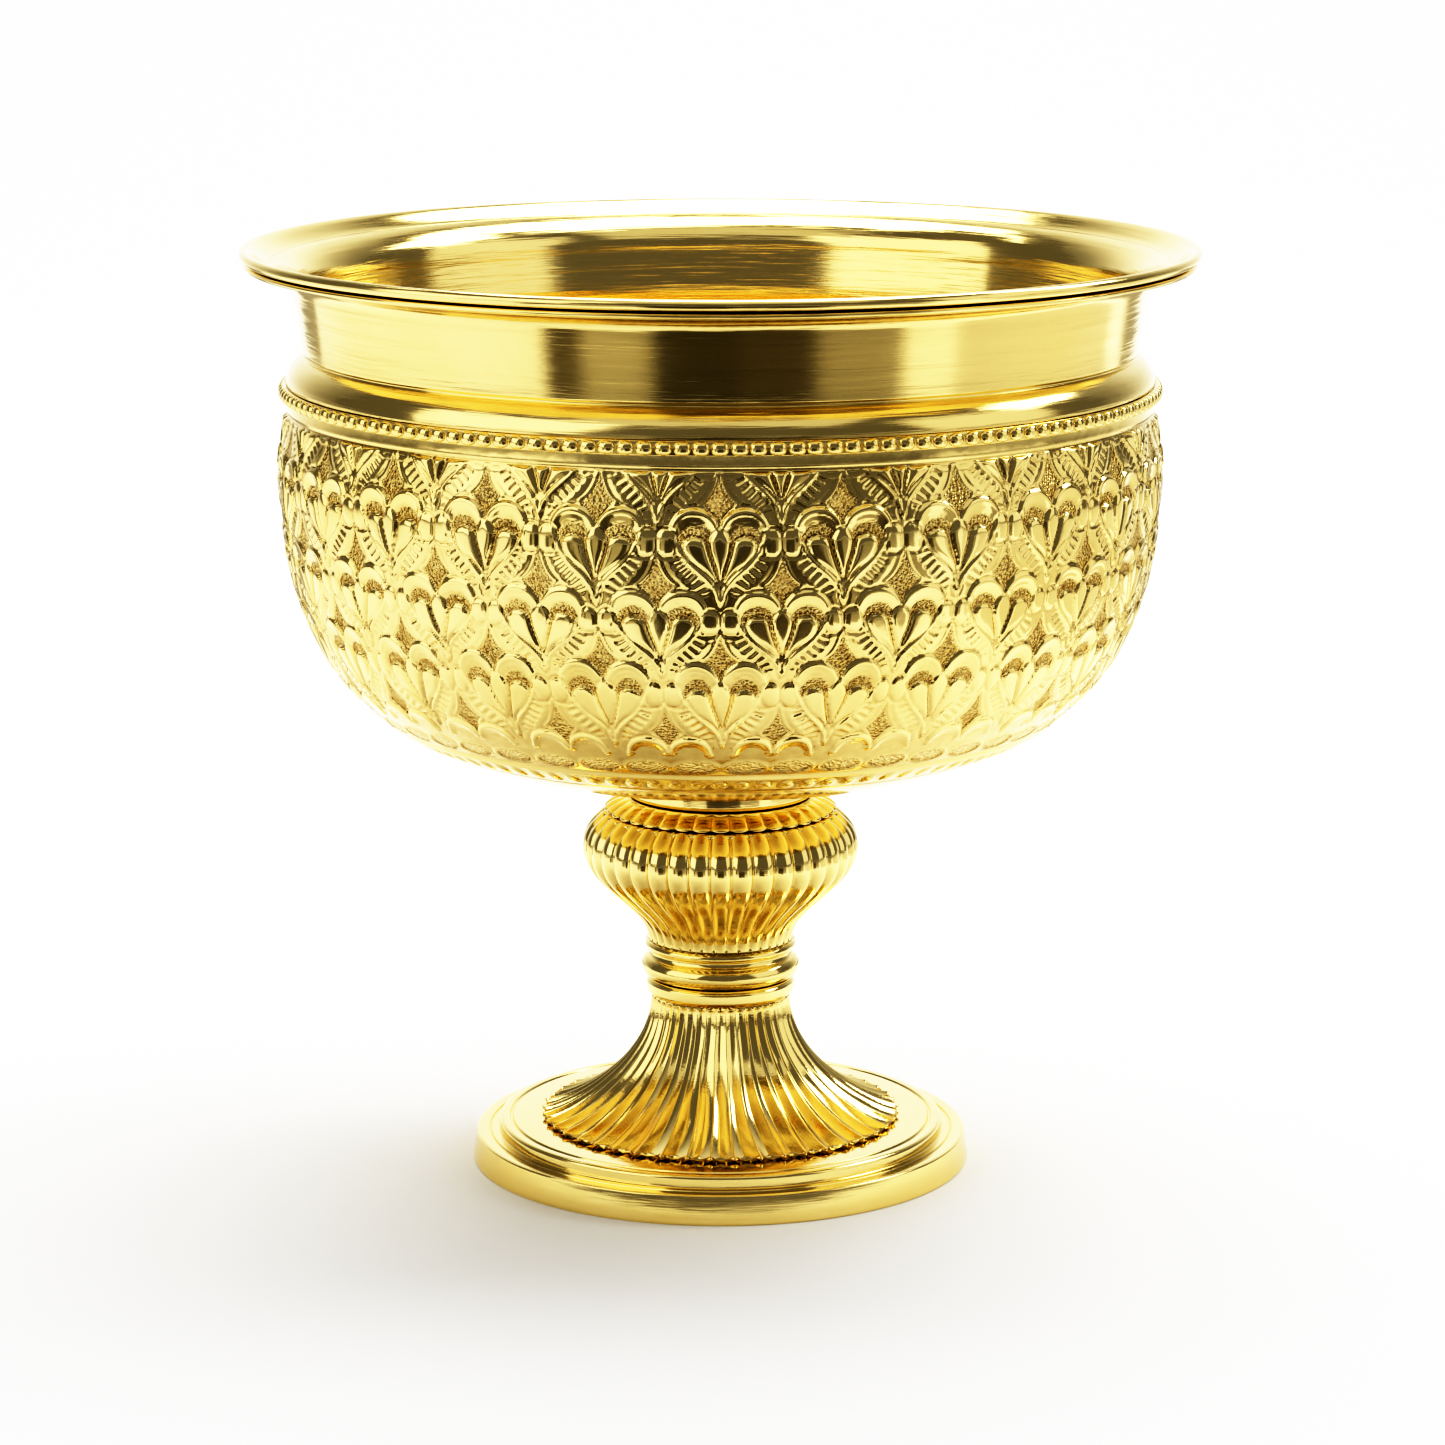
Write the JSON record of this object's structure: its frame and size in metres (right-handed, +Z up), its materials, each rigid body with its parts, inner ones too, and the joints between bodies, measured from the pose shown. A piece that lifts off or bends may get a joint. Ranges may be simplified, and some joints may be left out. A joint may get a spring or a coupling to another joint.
{
  "type": "footed brass urli bowl",
  "caption": "Deep round bowl with a flared rim, plain neck, pearl moulding and chased wall, on a gadrooned knop, fluted foot and stepped base.",
  "frame": {"origin": "centre of the base ring on the surface that the bowl stands on", "axes": "+Z up along the axis of the bowl, +X and +Y in the plane of the table"},
  "size_m": [0.254, 0.254, 0.2495],
  "materials": {
    "brass_brushed": "brushed",
    "brass_chased": "chased and polished",
    "brass_polished": "polished",
    "gasket": "matte",
    "steel": "zinc plated"
  },
  "bodies": {
    "root": {"base_plate": "brass_brushed", "flared_foot": "brass_polished", "foot_ferrule": "brass_polished", "collar_ring": "brass_polished", "knop": "brass_polished", "knop_cap": "brass_polished", "seat_ring": "brass_polished", "floor_gasket": "gasket", "belly_shell": "brass_chased", "bead_ring": "brass_polished", "neck_shell": "brass_brushed", "rim_ring": "brass_brushed", "tie_rod": "steel", "crown_washer": "brass_polished", "dome_nut": "brass_polished", "foot_washer": "steel", "spring_washer": "steel", "hex_nut": "steel"}
  },
  "joints": []
}
